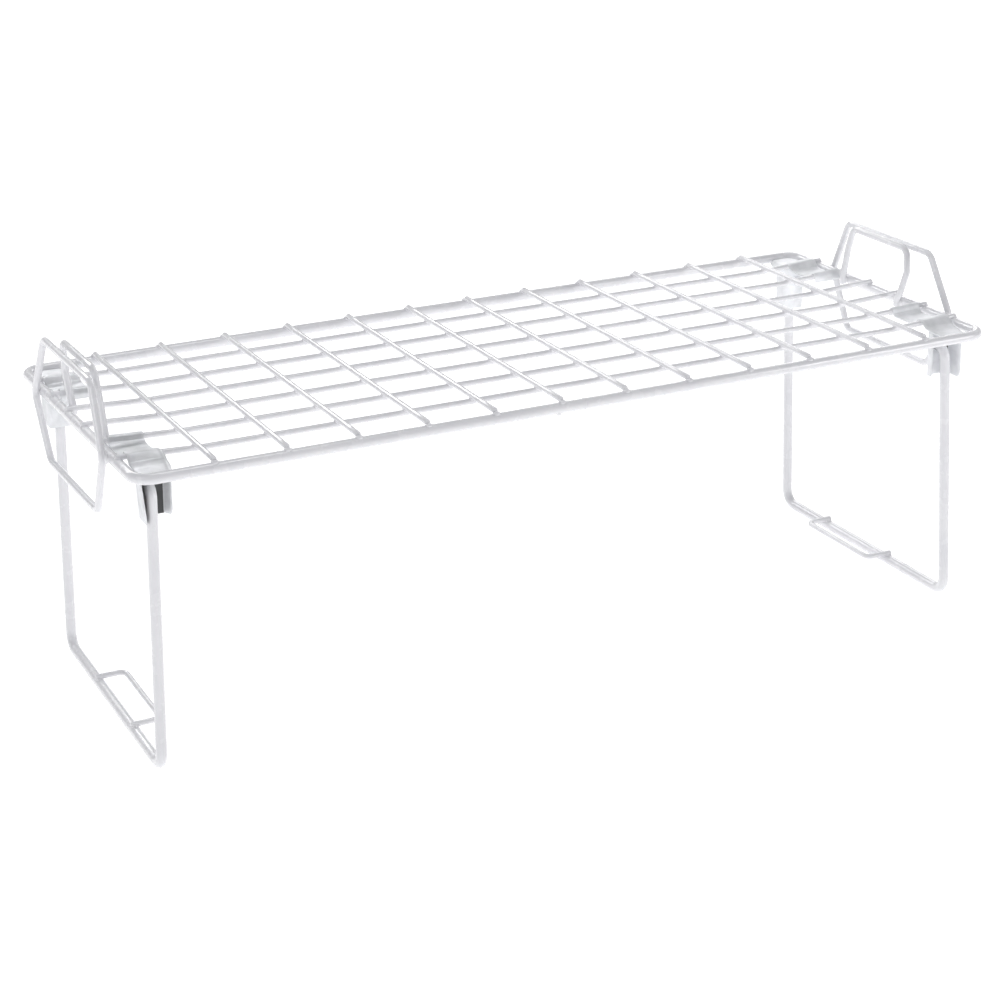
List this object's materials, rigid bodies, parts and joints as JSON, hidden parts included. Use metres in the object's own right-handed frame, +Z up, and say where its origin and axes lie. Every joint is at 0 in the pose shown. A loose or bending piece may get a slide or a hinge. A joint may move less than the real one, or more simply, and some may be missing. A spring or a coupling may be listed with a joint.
{
  "type": "shelf riser",
  "caption": "Wire shelf riser with a welded mesh deck on fold-down U legs in sheet brackets, with end loops that steady a second riser stacked on top.",
  "frame": {"origin": "on the worktop, under the middle of the deck", "axes": "+X along the shelf towards its right end, +Y towards its back, +Z up"},
  "size_m": [0.5294, 0.21, 0.2084],
  "materials": {
    "white_coating": "glossy white coating over steel wire",
    "zinc_sheet": "bright zinc-plated pressed steel sheet"
  },
  "bodies": {
    "shelf": {"perimeter_wire": "white_coating", "long_wire_1": "white_coating", "long_wire_2": "white_coating", "long_wire_3": "white_coating", "long_wire_4": "white_coating", "long_wire_5": "white_coating", "long_wire_6": "white_coating", "cross_wire_01": "white_coating", "cross_wire_02": "white_coating", "cross_wire_03": "white_coating", "cross_wire_04": "white_coating", "cross_wire_05": "white_coating", "cross_wire_06": "white_coating", "cross_wire_07": "white_coating", "cross_wire_08": "white_coating", "cross_wire_09": "white_coating", "cross_wire_10": "white_coating", "cross_wire_11": "white_coating", "cross_wire_12": "white_coating", "outer_loop_left": "white_coating", "outer_loop_right": "white_coating", "inner_loop_left": "white_coating", "inner_loop_right": "white_coating", "bracket_front_left": "zinc_sheet", "bracket_front_right": "zinc_sheet", "bracket_back_left": "zinc_sheet", "bracket_back_right": "zinc_sheet"},
    "left_leg": {"leg_left": "white_coating", "foot_guide_left": "white_coating"},
    "right_leg": {"leg_right": "white_coating", "foot_guide_right": "white_coating"}
  },
  "joints": [
    {"name": "left_leg_fold", "type": "hinge", "parent": "shelf", "child": "left_leg", "pos_m": [-0.2443, 0, 0.1594], "axis": [-0.0193, -0.9998, 0], "range_deg": [0, 88]},
    {"name": "right_leg_fold", "type": "hinge", "parent": "shelf", "child": "right_leg", "pos_m": [0.2433, 0, 0.1594], "axis": [0.0284, 0.9996, 0], "range_deg": [0, 88]}
  ]
}
